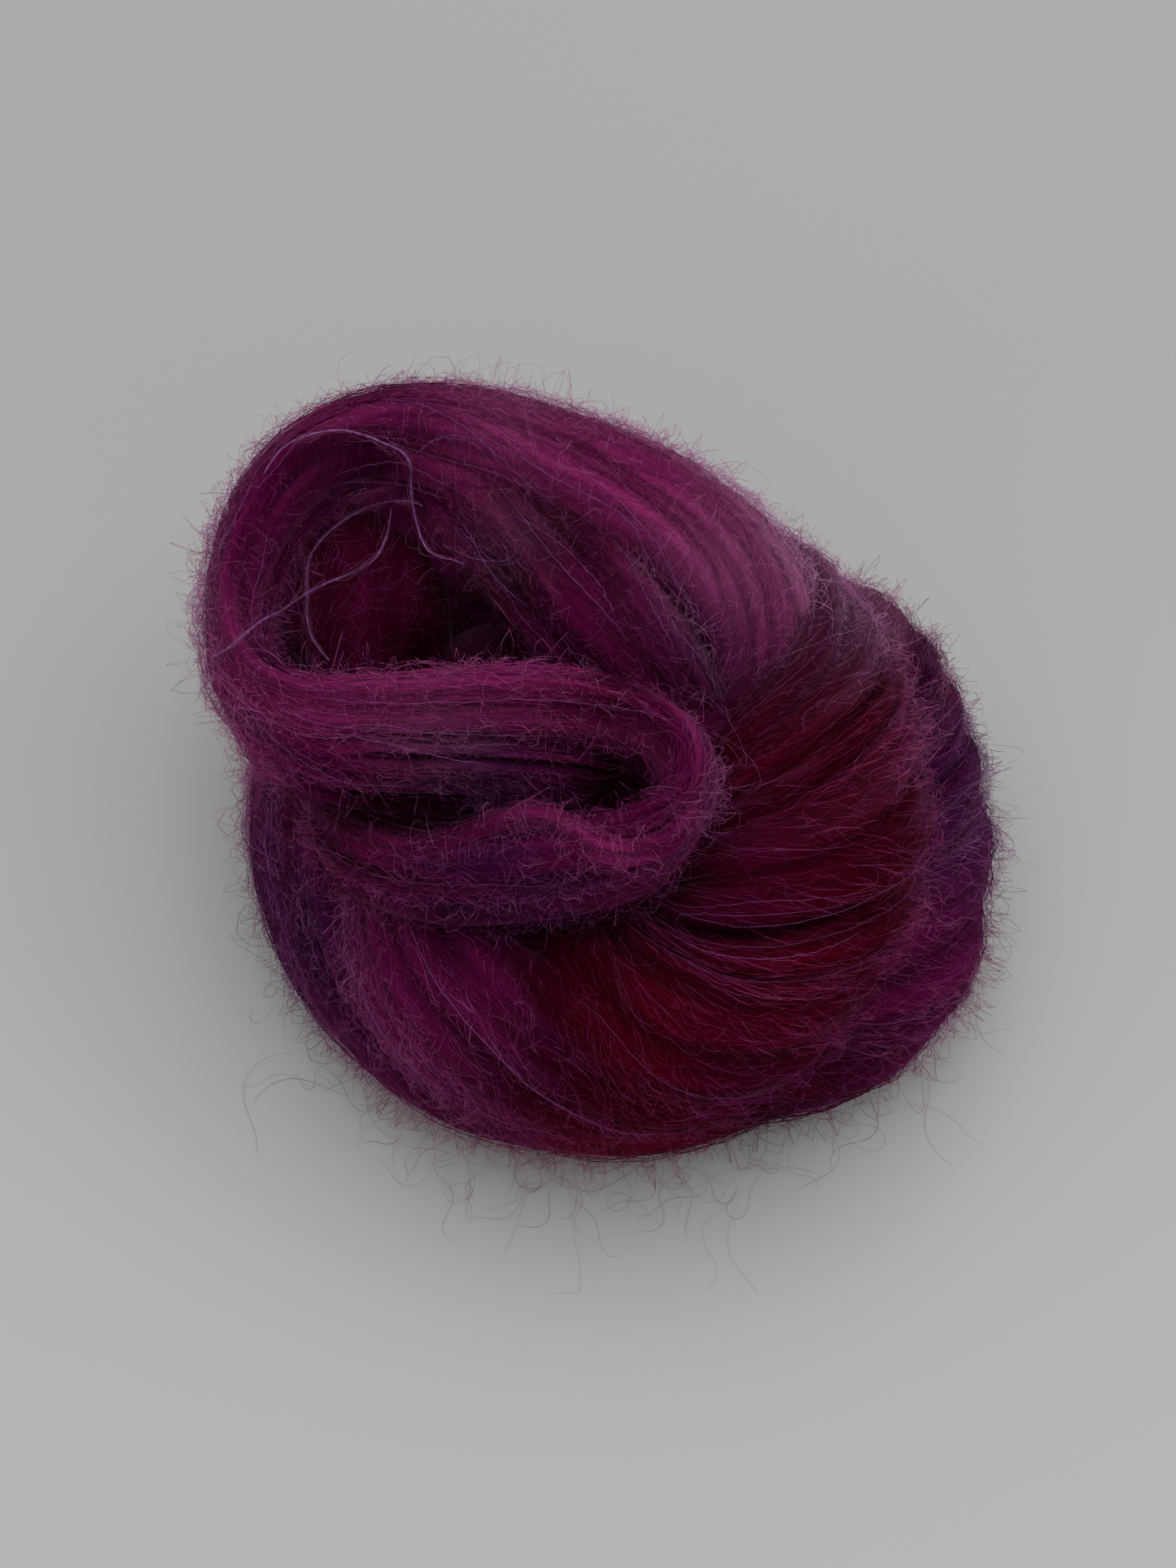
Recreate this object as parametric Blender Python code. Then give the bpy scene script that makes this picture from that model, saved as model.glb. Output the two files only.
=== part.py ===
"""A hank of hand-dyed mohair and silk lace yarn, twisted on itself and set down as a heap.

Lengths are in millimetres in the tables and in metres in Blender. +Z is up, the heap
rests on Z = 0, and the origin is under the middle of its footprint. -Y is the near side.

The yarn runs in bundles. Each bundle is a loft along a smooth line, with rounded strand
groups parted by grooves that wind about the line as the hank is twisted. The bundles are
joined into one body, and three loose yarn ends lie over the eye of the top loop.
"""

from collections import namedtuple
from math import ceil, pi

import bmesh
import bpy
import numpy as np
from mathutils import Vector

MM = 0.001

# Driving dimensions, in millimetres.
RING_STEP = 4.2  # distance between two rings of a loft, along its line
GROUP_SIDES = 4  # faces across one strand group
GROOVE = 0.13  # depth of the grooves between strand groups, as a share of the radius
LOOP_TWIST = 720.0  # how far the strand groups wind round the closed base coil, in degrees
YARN = 0.5  # thickness of a loose yarn end, its silk core with the closest fibres
YARN_STEP = 1.3  # distance between two points of a loose yarn end
TABLE_BLOCK = (160.0, 160.0, 20.0)  # the block whose top is the table's surface
MIDDLE = (2.9, -0.8, 0.0)  # middle of the footprint in the tables' frame

# One row for each section: its centre, half its width and height, and how far the
# strand groups have wound about the line by there, in degrees.
Section = namedtuple("Section", "x y z half_width half_height twist")

# The lowest turn, a closed coil that lies on the table.
BASE_COIL = [
    Section(40, 0, 14, 12.0, 15.0, 0),
    Section(35, -18, 13, 12.0, 14.0, 80),
    Section(22, -26, 12, 11.5, 13.5, 130),
    Section(3, -30, 11, 11.5, 12.5, 180),
    Section(-16, -25, 12, 11.5, 13.5, 220),
    Section(-28, -12, 13, 11.5, 14.5, 255),
    Section(-32, 5, 14, 12.0, 15.5, 300),
    Section(-25, 22, 15, 12.0, 16.5, 350),
    Section(-4, 30, 16, 12.0, 17.5, 420),
    Section(18, 28, 17, 12.0, 18.5, 500),
    Section(34, 17, 17, 11.5, 18.5, 610),
]

# The middle turn: out from under the top fold on the left, across the front, fanned out
# over the right side, round the back and in again on the left.
FAN = [
    Section(-25, -11, 22, 4.0, 6.0, 0),
    Section(-21.5, -20, 24, 8.5, 9.5, 20),
    Section(-15, -27.5, 24, 11.0, 12.0, 45),
    Section(-5.5, -31, 23, 13.0, 13.0, 75),
    Section(5, -31, 23, 14.5, 13.5, 115),
    Section(15, -28, 26, 15.0, 14.0, 165),
    Section(22, -21.5, 30, 15.0, 14.5, 225),
    Section(25.5, -13, 33, 15.5, 14.5, 285),
    Section(26.5, -3, 35, 15.0, 14.0, 340),
    Section(25.5, 6.5, 35.5, 13.0, 12.5, 390),
    Section(20, 19, 34, 11.0, 11.5, 440),
    Section(6, 28, 32, 10.5, 12.0, 500),
    Section(-12, 33, 31, 10.5, 12.5, 560),
    Section(-28, 31, 25, 10.0, 12.0, 610),
    Section(-38, 18, 20, 7.5, 8.0, 650),
    Section(-37, 5, 18, 4.0, 5.0, 680),
]

# The top turn: up out of the right side, round the eye, and back across in an S.
TOP_LOOP = [
    Section(20.5, 0, 33, 5.0, 6.0, 0),
    Section(21, 7, 38, 8.0, 8.5, 8),
    Section(18.5, 14, 42.5, 9.5, 9.5, 16),
    Section(12.5, 20.5, 45.5, 9.8, 9.5, 22),
    Section(3.5, 26, 47.5, 9.7, 9.0, 28),
    Section(-5.5, 30, 49, 8.9, 8.5, 32),
    Section(-14.5, 33, 50, 7.9, 8.0, 36),
    Section(-23, 34.3, 50, 6.5, 7.5, 40),
    Section(-30.5, 32.5, 49.5, 5.5, 7.5, 44),
    Section(-36.5, 27.5, 48.5, 5.1, 8.0, 48),
    Section(-40.6, 19, 47, 4.6, 8.5, 52),
    Section(-41.7, 9.5, 46.5, 4.4, 9.0, 56),
    Section(-39.2, 0.6, 46.5, 4.4, 9.0, 60),
    Section(-31.5, -4.8, 47.5, 4.5, 8.9, 64),
    Section(-21.5, -5.2, 48.5, 4.6, 8.8, 68),
    Section(-11.5, -5.2, 49.5, 4.6, 8.8, 72),
    Section(-2, -5.4, 49.5, 4.4, 8.8, 76),
    Section(5.8, -7.1, 48.8, 4.1, 8.8, 80),
    Section(10.2, -10.5, 48, 3.8, 9.0, 84),
    Section(10.6, -14.8, 46, 3.8, 9.0, 88),
    Section(7.4, -18.4, 44, 4.1, 9.0, 92),
    Section(1.5, -20.2, 42, 5.0, 9.0, 96),
    Section(-6.7, -20.8, 41, 5.9, 9.0, 100),
    Section(-17, -20, 39, 6.2, 8.5, 104),
    Section(-25.7, -15.5, 35, 5.7, 7.5, 108),
    Section(-32, -7, 29, 3.5, 5.0, 112),
]

# A thinner strand group under the S, parted from it by a dark groove.
UNDER_S = [
    Section(-41, 4, 41, 3.0, 4.0, 0),
    Section(-37.5, -3.5, 43, 3.8, 7.0, 5),
    Section(-30.5, -8.5, 44, 4.1, 7.5, 10),
    Section(-21.5, -10.5, 45, 4.2, 8.0, 15),
    Section(-11.5, -11, 45, 4.1, 8.0, 20),
    Section(-2.5, -10.6, 43, 3.7, 7.0, 25),
    Section(4, -9.5, 39, 3.0, 5.5, 30),
    Section(8, -7.5, 37, 2.0, 3.0, 34),
]

# The inner strands of the S's bend, which curl over its lower arm as a low ridge.
CURL = [
    Section(12, -11, 49, 1.2, 1.2, 0),
    Section(11.9, -14.6, 49.6, 1.9, 2.0, 10),
    Section(11.1, -18.2, 49.6, 2.1, 2.3, 20),
    Section(8.5, -21.5, 49.6, 2.2, 2.4, 30),
    Section(4.9, -22.6, 49.2, 2.2, 2.4, 40),
    Section(1.4, -22.2, 49, 2.2, 2.3, 50),
    Section(-1.8, -20.1, 49, 2.1, 2.2, 60),
    Section(-4.5, -18.4, 48.9, 2.0, 2.1, 70),
    Section(-7.4, -18, 48.5, 2.1, 2.1, 80),
    Section(-11.1, -18.9, 47.6, 2.2, 2.1, 90),
    Section(-15.6, -20, 46.4, 2.2, 2.0, 100),
    Section(-20.2, -20.4, 45, 1.5, 1.5, 110),
]

# A looser inner band that slopes from the back of the top loop into the middle.
INNER_BAND = [
    Section(-20, 35, 43, 5.0, 5.0, 0),
    Section(-12.5, 28.5, 44, 8.5, 9.0, 6),
    Section(-4, 20, 43.5, 9.8, 10.0, 12),
    Section(3, 12, 41.5, 9.6, 10.0, 18),
    Section(10, 4, 38.5, 8.0, 9.0, 24),
    Section(15, -1, 35, 4.0, 4.0, 28),
]

# The end of an under turn that shows deep in the eye of the top loop.
HEART = [
    Section(-36, 36, 20, 4.0, 4.0, 0),
    Section(-32.5, 31.5, 27, 9.5, 9.5, 25),
    Section(-28.6, 24, 31, 11.4, 10.8, 60),
    Section(-25, 14, 27, 10.0, 10.0, 100),
    Section(-23, 5, 20, 5.0, 5.0, 130),
]

# The yarn inside the heap, which the turns close over.
CORE = [
    Section(-31, 2, 16, 6.0, 8.0, 0),
    Section(-19, -1.5, 18, 24.0, 18.5, 0),
    Section(-3, -1, 20, 27.0, 21.5, 0),
    Section(14, 0, 21.5, 26.0, 22.5, 0),
    Section(28, 0, 20, 17.0, 17.0, 0),
    Section(37, 0, 19, 6.0, 8.0, 0),
]


# The loose yarn ends that lie over the eye of the top loop, as points along each.
YARN_ENDS = {
    "yarn_end_left": [
        (-42.4, -0.1, 53.7),
        (-40.3, 0.0, 55.5),
        (-38.5, 1.0, 56.6),
        (-36.9, 3.5, 55.6),
        (-35.6, 8.9, 49.7),
        (-33.3, 15.3, 44.2),
        (-31.1, 17.9, 42.6),
        (-28.7, 19.7, 41.8),
        (-26.1, 21.4, 42.0),
        (-24.7, 24.1, 42.4),
        (-24.2, 26.8, 42.8),
        (-24.0, 28.6, 43.6),
    ],
    "yarn_end_middle": [
        (-30.8, 8.3, 40.0),
        (-32.0, 10.6, 38.4),
        (-33.3, 12.9, 37.8),
        (-34.1, 15.6, 37.5),
        (-34.2, 17.7, 38.8),
        (-34.2, 19.7, 40.2),
        (-33.9, 22.4, 41.2),
        (-32.7, 24.2, 42.0),
        (-30.6, 26.5, 42.4),
        (-28.0, 28.4, 42.6),
        (-25.0, 28.2, 44.6),
        (-22.9, 27.1, 46.4),
        (-21.0, 26.4, 47.2),
        (-19.7, 24.7, 48.6),
    ],
    "yarn_end_right": [
        (-37.9, 23.2, 56.6),
        (-35.9, 26.5, 57.2),
        (-33.3, 28.3, 57.4),
        (-29.5, 29.4, 57.2),
        (-26.6, 29.4, 56.4),
        (-23.8, 28.6, 55.6),
        (-21.8, 27.9, 54.8),
        (-21.0, 26.9, 53.4),
        (-21.1, 26.2, 51.0),
        (-20.9, 24.4, 48.9),
        (-20.3, 22.5, 46.8),
        (-19.3, 20.4, 46.0),
        (-17.7, 18.9, 46.4),
        (-16.1, 17.8, 47.4),
        (-14.5, 16.4, 48.4),
    ],
}


def smooth_rows(sections, count, closed=False):
    """The table's columns at evenly spaced places along a smooth line through its rows."""
    rows = np.array(sections, dtype=float)
    if closed:
        before, first, after = rows[-1].copy(), rows[0].copy(), rows[1].copy()
        before[-1] -= LOOP_TWIST
        first[-1] += LOOP_TWIST
        after[-1] += LOOP_TWIST
        rows = np.vstack([before, rows, first, after])
    else:
        rows = np.vstack([2 * rows[0] - rows[1], rows, 2 * rows[-1] - rows[-2]])
    steps = np.linalg.norm(np.diff(rows[:, :3], axis=0), axis=1)
    knots = np.concatenate([[0], np.cumsum(steps)])
    slopes = (rows[2:] - rows[:-2]) / (knots[2:] - knots[:-2])[:, None]
    places = np.linspace(knots[1], knots[-2], count)
    spans = np.clip(np.searchsorted(knots, places, side="right") - 1, 1, len(knots) - 3)
    length = (knots[spans + 1] - knots[spans])[:, None]
    t = (places[:, None] - knots[spans][:, None]) / length
    out, into = slopes[spans - 1] * length, slopes[spans] * length
    return (
        rows[spans] * (2 * t**3 - 3 * t**2 + 1)
        + out * (t**3 - 2 * t**2 + t)
        + rows[spans + 1] * (3 * t**2 - 2 * t**3)
        + into * (t**3 - t**2)
    )


def bundle_points(rows, sides, groups, groove):
    """Each ring's points: an ellipse across the line, its strand groups parted by grooves."""
    centres = rows[:, :3]
    along = np.gradient(centres, axis=0)
    along /= np.linalg.norm(along, axis=1)[:, None]
    outward = np.cross(along, (0.0, 0.0, 1.0))
    outward /= np.linalg.norm(outward, axis=1)[:, None]
    upward = np.cross(outward, along)
    turn = 2 * pi * np.arange(sides + 1) / sides
    crest = 1 - groove * (1 - np.abs(np.cos(groups * turn / 2)))
    uneven = turn + 0.22 * np.sin(2 * turn + 0.8) + 0.12 * np.sin(3 * turn + 2.0)
    angle = uneven[None, :] - np.radians(rows[:, 5])[:, None]
    across = np.cos(angle) * crest * rows[:, 3:4]
    height = np.sin(angle) * crest * rows[:, 4:5]
    return centres[:, None] + across[..., None] * outward[:, None] + height[..., None] * upward[:, None]


def bundle(name, sections, groups, groove=GROOVE, closed=False):
    """A loft of one bundle as a closed mesh object."""
    length = sum((Vector(b[:3]) - Vector(a[:3])).length for a, b in zip(sections, sections[1:]))
    rings = ceil(length / RING_STEP)
    sides = groups * GROUP_SIDES
    rows = smooth_rows(sections, rings + 1, closed)
    points = bundle_points(rows, sides, groups, groove)
    if closed:
        points[-1] = points[0]
    else:
        points[0] = rows[0, :3]
        points[-1] = rows[-1, :3]
    points = (points - MIDDLE) * MM

    mesh = bpy.data.meshes.new(name)
    sheet = bmesh.new()
    bmesh.ops.create_grid(sheet, x_segments=rings, y_segments=sides, size=0.5)
    for vert in sheet.verts:
        ring = round((vert.co.x + 0.5) * rings)
        side = round((vert.co.y + 0.5) * sides)
        vert.co = points[ring, side]
    bmesh.ops.remove_doubles(sheet, verts=sheet.verts, dist=1e-6)
    bmesh.ops.recalc_face_normals(sheet, faces=sheet.faces)
    sheet.to_mesh(mesh)
    sheet.free()
    mesh.shade_smooth()
    return bpy.data.objects.new(name, mesh)


def below_table():
    """The block under the table's surface, which cuts the flat underside."""
    size = Vector(TABLE_BLOCK) * MM
    mesh = bpy.data.meshes.new("below_table")
    block = bmesh.new()
    bmesh.ops.create_cube(block, size=1)
    bmesh.ops.scale(block, vec=size, verts=block.verts)
    bmesh.ops.translate(block, vec=(0, 0, -size.z / 2), verts=block.verts)
    block.to_mesh(mesh)
    block.free()
    return bpy.data.objects.new("below_table", mesh)


def boolean(target, operation, others):
    """Join a collection of shapes to the target, or cut them away, in one exact step."""
    for other in others.objects:
        other.hide_render = True
        other.display_type = "WIRE"
    modifier = target.modifiers.new(others.name, "BOOLEAN")
    modifier.operation = operation
    modifier.solver = "EXACT"
    modifier.operand_type = "COLLECTION"
    modifier.collection = others


def yarn_end(name, route):
    """One loose yarn end: a thin tube with closed ends along a smooth line."""
    length = sum((Vector(b) - Vector(a)).length for a, b in zip(route, route[1:]))
    points = (smooth_rows(route, ceil(length / YARN_STEP) + 1) - MIDDLE) * MM
    curve = bpy.data.curves.new(name, "CURVE")
    curve.dimensions = "3D"
    curve.bevel_depth = YARN / 2 * MM
    curve.bevel_resolution = 2
    curve.use_fill_caps = True
    spline = curve.splines.new("POLY")
    spline.points.add(len(points) - 1)
    for point, place in zip(spline.points, points):
        point.co = (*place, 1.0)
    return bpy.data.objects.new(name, curve)


def finish(name, colour, roughness):
    """A Principled material for dyed fibre, which is never metallic."""
    material = bpy.data.materials.new(name)
    material.use_nodes = True
    shader = material.node_tree.nodes["Principled BSDF"]
    shader.inputs["Base Color"].default_value = (*colour, 1.0)
    shader.inputs["Roughness"].default_value = roughness
    shader.inputs["Metallic"].default_value = 0.0
    return material


def collection(name, objects):
    """A collection in the scene that holds these objects."""
    made = bpy.data.collections.new(name)
    bpy.context.scene.collection.children.link(made)
    for obj in objects:
        made.objects.link(obj)
    return made


def main():
    for obj in list(bpy.data.objects):
        bpy.data.objects.remove(obj)
    hank = bundle("hank", BASE_COIL, groups=8, closed=True)
    hank.data.materials.append(finish("dyed_mohair", (0.13, 0.012, 0.06), 0.85))
    bundles = [
        bundle("core", CORE, groups=5, groove=0.0),
        bundle("fan", FAN, groups=9),
        bundle("heart", HEART, groups=5),
        bundle("inner_band", INNER_BAND, groups=5),
        bundle("under_s", UNDER_S, groups=4),
        bundle("top_loop", TOP_LOOP, groups=7),
        bundle("curl", CURL, groups=3),
    ]
    boolean(hank, "UNION", collection("upper_bundles", bundles))
    boolean(hank, "DIFFERENCE", collection("cutters", [below_table()]))

    silk = finish("purple_silk", (0.20, 0.05, 0.35), 0.4)
    ends = [yarn_end(name, route) for name, route in YARN_ENDS.items()]
    for end in ends:
        end.data.materials.append(silk)
    collection("mohair_hank", [hank, *ends])


main()
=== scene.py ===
import math
import time

import bmesh
import bpy
import numpy as np
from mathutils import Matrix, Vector
from mathutils.bvhtree import BVHTree


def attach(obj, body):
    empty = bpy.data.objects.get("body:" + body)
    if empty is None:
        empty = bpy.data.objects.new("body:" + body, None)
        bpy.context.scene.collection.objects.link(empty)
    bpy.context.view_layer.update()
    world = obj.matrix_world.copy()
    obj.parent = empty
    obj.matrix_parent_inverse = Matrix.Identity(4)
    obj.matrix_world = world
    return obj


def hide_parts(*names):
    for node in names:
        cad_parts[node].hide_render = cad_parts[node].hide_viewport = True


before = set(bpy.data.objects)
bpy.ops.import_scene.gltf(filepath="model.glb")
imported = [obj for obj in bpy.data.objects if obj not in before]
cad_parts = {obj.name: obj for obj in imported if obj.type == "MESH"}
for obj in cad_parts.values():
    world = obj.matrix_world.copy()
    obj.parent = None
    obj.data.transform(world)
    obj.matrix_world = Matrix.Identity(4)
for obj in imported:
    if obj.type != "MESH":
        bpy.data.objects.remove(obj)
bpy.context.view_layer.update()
started = time.time()
mm = 0.001
middle = np.array([2.9, -0.8, 0.0])  # middle of the footprint in the tables, as in the solids


def report(stage):
    print(f"{stage}: {time.time() - started:.1f} s")


# Camera, looking down on the hank at the photograph's angle

photoCamera = {
    "target": (-2.9, 0.8, 25.0),
    "elevation": 60.0,
    "distance": 300.0,
    "focal": 3000.0,  # in pixels of the photograph's frame
    "frameHeight": 1927.0,
    "sensor": 36.0,
}


def makeCamera(say):
    lens = bpy.data.cameras.new("photo_camera")
    lens.sensor_fit = "AUTO"
    lens.sensor_width = say["sensor"]
    lens.lens = say["sensor"] * say["focal"] / say["frameHeight"]
    lens.clip_start = 0.01
    camera = bpy.data.objects.new("photo_camera", lens)
    bpy.context.scene.collection.objects.link(camera)
    tilt = math.radians(say["elevation"])
    ahead = Vector((0, math.cos(tilt), -math.sin(tilt)))
    camera.location = (Vector(say["target"]) - ahead * say["distance"]) * mm
    camera.rotation_euler = ahead.to_track_quat("-Z", "Y").to_euler()
    bpy.context.scene.camera = camera


makeCamera(photoCamera)

# Dyes, as linear colours of the fibre itself

dyes = {
    "plum": (0.132, 0.0040, 0.055),
    "magenta": (0.235, 0.0150, 0.105),
    "orchid": (0.250, 0.0450, 0.135),
    "crimson": (0.110, 0.0006, 0.009),
    "berry": (0.082, 0.0020, 0.024),
    "garnet": (0.064, 0.0004, 0.008),
    "wine": (0.052, 0.0007, 0.014),
    "violet": (0.060, 0.0040, 0.046),
    "mauve": (0.300, 0.0800, 0.190),
    "silk": (0.340, 0.1000, 0.400),
}
paleness = 0.38  # power that turns the colour of the mass into that of one thin fibre, also used for the painted glow of light through the pile

# The loose pile that covers the imported mass, in mm: its depth, how much deeper it is where
# the hank faces out and between which heights that grows, and its swell on the near side
pile = 0.5
rimPile = {"deeper": 0.9, "from": 8, "full": 28, "behindFrom": 46, "behindFull": 41}
nearSwell = {"out": 1.6, "fade": 1.6, "over": 14}

# Patches where the dye took differently: centre in mm, radius, dye, strength
dyePatches = [
    ((1, -8, 56), 8, "crimson", 0.45),
    ((8, -36, 34), 9, "crimson", 0.80),
    ((22, -34, 36), 9, "crimson", 0.70),
    ((33, -12, 42), 12, "garnet", 0.55),
    ((18, -20, 44), 8, "plum", 0.25),
    ((-20, -36, 24), 12, "magenta", 0.30),
    ((-17, -9, 50), 8, "mauve", 0.35),
    ((-9, 19, 50), 8, "mauve", 0.25),
    ((-2, -44, 12), 14, "crimson", 0.55),
    ((44, -6, 22), 12, "violet", 0.70),
    ((30, 22, 36), 12, "orchid", 0.40),
    ((19, 15, 50), 12, "mauve", 0.60),
    ((-8, 38, 54), 10, "mauve", 0.55),
    ((-46, 10, 46), 8, "mauve", 0.20),
    ((14, 6, 46), 9, "violet", 0.55),
    ((-44, -6, 10), 14, "violet", 0.35),
]


def mixed(one, other, share):
    share = np.clip(share, 0, 1)[..., None]
    return one * (1 - share) + np.asarray(other) * share


def between(limits, share):
    return limits[0] + (limits[1] - limits[0]) * share


def ramp(value, start, end):
    # 0 at the start of a stretch and 1 at its end
    return np.clip((value - start) / (end - start), 0, 1)


def patched(colour, points):
    # The dye patches, soft at their edges
    for centre, radius, dye, strength in dyePatches:
        away = np.linalg.norm(points - (np.array(centre) - middle), axis=-1) / radius
        colour = mixed(colour, dyes[dye], strength * np.exp(-away**2 * 1.4))
    return colour


# The bundles, with the same sections as the solids. Columns: x, y, z, half width and half
# height in mm, twist in degrees, dye

baseTurn = {
    "closed": True, "groups": 8, "groove": 0.12, "sides": 96, "step": 1.7,
    "rows": [
        (40, 0, 14, 12.0, 15.0, 0, "violet"),
        (35, -18, 13, 12.0, 14.0, 80, "plum"),
        (22, -26, 12, 11.5, 13.5, 130, "wine"),
        (3, -30, 11, 11.5, 12.5, 180, "crimson"),
        (-16, -25, 12, 11.5, 13.5, 220, "plum"),
        (-28, -12, 13, 11.5, 14.5, 255, "violet"),
        (-32, 5, 14, 12.0, 15.5, 300, "plum"),
        (-25, 22, 15, 12.0, 16.5, 350, "plum"),
        (-4, 30, 16, 12.0, 17.5, 420, "violet"),
        (18, 28, 17, 12.0, 18.5, 500, "magenta"),
        (34, 17, 17, 11.5, 18.5, 610, "wine"),
    ],
}

fanTurn = {
    "closed": False, "groups": 9, "groove": 0.12, "sides": 99, "step": 1.7,
    "rows": [
        (-25, -11, 22, 4.0, 6.0, 0, "plum"),
        (-21.5, -20, 24, 8.5, 9.5, 20, "plum"),
        (-15, -27.5, 24, 11.0, 12.0, 45, "plum"),
        (-5.5, -31, 23, 13.0, 13.0, 75, "wine"),
        (5, -31, 23, 14.5, 13.5, 115, "garnet"),
        (15, -28, 26, 15.0, 14.0, 165, "wine"),
        (22, -21.5, 30, 15.0, 14.5, 225, "garnet"),
        (25.5, -13, 33, 15.5, 14.5, 285, "garnet"),
        (26.5, -3, 35, 15.0, 14.0, 340, "garnet"),
        (25.5, 6.5, 35.5, 13.0, 12.5, 390, "wine"),
        (20, 19, 34, 11.0, 11.5, 440, "violet"),
        (6, 28, 32, 10.5, 12.0, 500, "plum"),
        (-12, 33, 31, 10.5, 12.5, 560, "magenta"),
        (-28, 31, 25, 10.0, 12.0, 610, "plum"),
        (-38, 18, 20, 7.5, 8.0, 650, "violet"),
        (-37, 5, 18, 4.0, 5.0, 680, "plum"),
    ],
}

topLoop = {
    "closed": False, "groups": 7, "groove": 0.12, "sides": 84, "step": 1.4,
    "rows": [
        (20.5, 0, 33, 5.0, 6.0, 0, "violet"),
        (21, 7, 38, 8.0, 8.5, 8, "magenta"),
        (18.5, 14, 42.5, 9.5, 9.5, 16, "magenta"),
        (12.5, 20.5, 45.5, 9.8, 9.5, 22, "magenta"),
        (3.5, 26, 47.5, 9.7, 9.0, 28, "magenta"),
        (-5.5, 30, 49, 8.9, 8.5, 32, "magenta"),
        (-14.5, 33, 50, 7.9, 8.0, 36, "magenta"),
        (-23, 34.3, 50, 6.5, 7.5, 40, "plum"),
        (-30.5, 32.5, 49.5, 5.5, 7.5, 44, "magenta"),
        (-36.5, 27.5, 48.5, 5.1, 8.0, 48, "plum"),
        (-40.6, 19, 47, 4.6, 8.5, 52, "plum"),
        (-41.7, 9.5, 46.5, 4.4, 9.0, 56, "plum"),
        (-39.2, 0.6, 46.5, 4.4, 9.0, 60, "magenta"),
        (-31.5, -4.8, 47.5, 4.5, 8.9, 64, "magenta"),
        (-21.5, -5.2, 48.5, 4.6, 8.8, 68, "magenta"),
        (-11.5, -5.2, 49.5, 4.6, 8.8, 72, "magenta"),
        (-2, -5.4, 49.5, 4.4, 8.8, 76, "magenta"),
        (5.8, -7.1, 48.8, 4.1, 8.8, 80, "magenta"),
        (10.2, -10.5, 48, 3.8, 9.0, 84, "plum"),
        (10.6, -14.8, 46, 3.8, 9.0, 88, "plum"),
        (7.4, -18.4, 44, 4.1, 9.0, 92, "plum"),
        (1.5, -20.2, 42, 5.0, 9.0, 96, "plum"),
        (-6.7, -20.8, 41, 5.9, 9.0, 100, "violet"),
        (-17, -20, 39, 6.2, 8.5, 104, "plum"),
        (-25.7, -15.5, 35, 5.7, 7.5, 108, "wine"),
        (-32, -7, 29, 3.5, 5.0, 112, "wine"),
    ],
}

underFold = {
    "closed": False, "groups": 4, "groove": 0.12, "sides": 48, "step": 1.4,
    "rows": [
        (-41, 4, 41, 3.0, 4.0, 0, "magenta"),
        (-37.5, -3.5, 43, 3.8, 7.0, 5, "magenta"),
        (-30.5, -8.5, 44, 4.1, 7.5, 10, "plum"),
        (-21.5, -10.5, 45, 4.2, 8.0, 15, "plum"),
        (-11.5, -11, 45, 4.1, 8.0, 20, "violet"),
        (-2.5, -10.6, 43, 3.7, 7.0, 25, "plum"),
        (4, -9.5, 39, 3.0, 5.5, 30, "wine"),
        (8, -7.5, 37, 2.0, 3.0, 34, "wine"),
    ],
}

foldCurl = {
    "closed": False, "groups": 3, "groove": 0.12, "sides": 30, "step": 1.2,
    "rows": [
        (12, -11, 49, 1.2, 1.2, 0, "magenta"),
        (11.9, -14.6, 49.6, 1.9, 2.0, 10, "plum"),
        (11.1, -18.2, 49.6, 2.1, 2.3, 20, "magenta"),
        (8.5, -21.5, 49.6, 2.2, 2.4, 30, "plum"),
        (4.9, -22.6, 49.2, 2.2, 2.4, 40, "magenta"),
        (1.4, -22.2, 49, 2.2, 2.3, 50, "magenta"),
        (-1.8, -20.1, 49, 2.1, 2.2, 60, "magenta"),
        (-4.5, -18.4, 48.9, 2.0, 2.1, 70, "magenta"),
        (-7.4, -18, 48.5, 2.1, 2.1, 80, "magenta"),
        (-11.1, -18.9, 47.6, 2.2, 2.1, 90, "plum"),
        (-15.6, -20, 46.4, 2.2, 2.0, 100, "plum"),
        (-20.2, -20.4, 45, 1.5, 1.5, 110, "plum"),
    ],
}

innerBand = {
    "closed": False, "groups": 5, "groove": 0.12, "sides": 60, "step": 1.4,
    "rows": [
        (-20, 35, 43, 5.0, 5.0, 0, "plum"),
        (-12.5, 28.5, 44, 8.5, 9.0, 6, "plum"),
        (-4, 20, 43.5, 9.8, 10.0, 12, "wine"),
        (3, 12, 41.5, 9.6, 10.0, 18, "plum"),
        (10, 4, 38.5, 8.0, 9.0, 24, "wine"),
        (15, -1, 35, 4.0, 4.0, 28, "wine"),
    ],
}

heartCurl = {
    "closed": False, "groups": 5, "groove": 0.08, "sides": 60, "step": 1.4,
    "rows": [
        (-36, 36, 20, 4.0, 4.0, 0, "wine"),
        (-32.5, 31.5, 27, 9.5, 9.5, 25, "berry"),
        (-28.6, 24, 31, 11.4, 10.8, 60, "berry"),
        (-25, 14, 27, 10.0, 10.0, 100, "wine"),
        (-23, 5, 20, 5.0, 5.0, 130, "wine"),
    ],
}

innerYarn = {
    "closed": False, "groups": 5, "groove": 0.06, "sides": 40, "step": 3.0,
    "rows": [
        (-31, 2, 16, 6.0, 8.0, 0, "wine"),
        (-19, -1.5, 18, 24.0, 18.5, 0, "wine"),
        (-3, -1, 20, 27.0, 21.5, 0, "wine"),
        (14, 0, 21.5, 26.0, 22.5, 0, "wine"),
        (28, 0, 20, 17.0, 17.0, 0, "wine"),
        (37, 0, 19, 6.0, 8.0, 0, "wine"),
    ],
}

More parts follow.
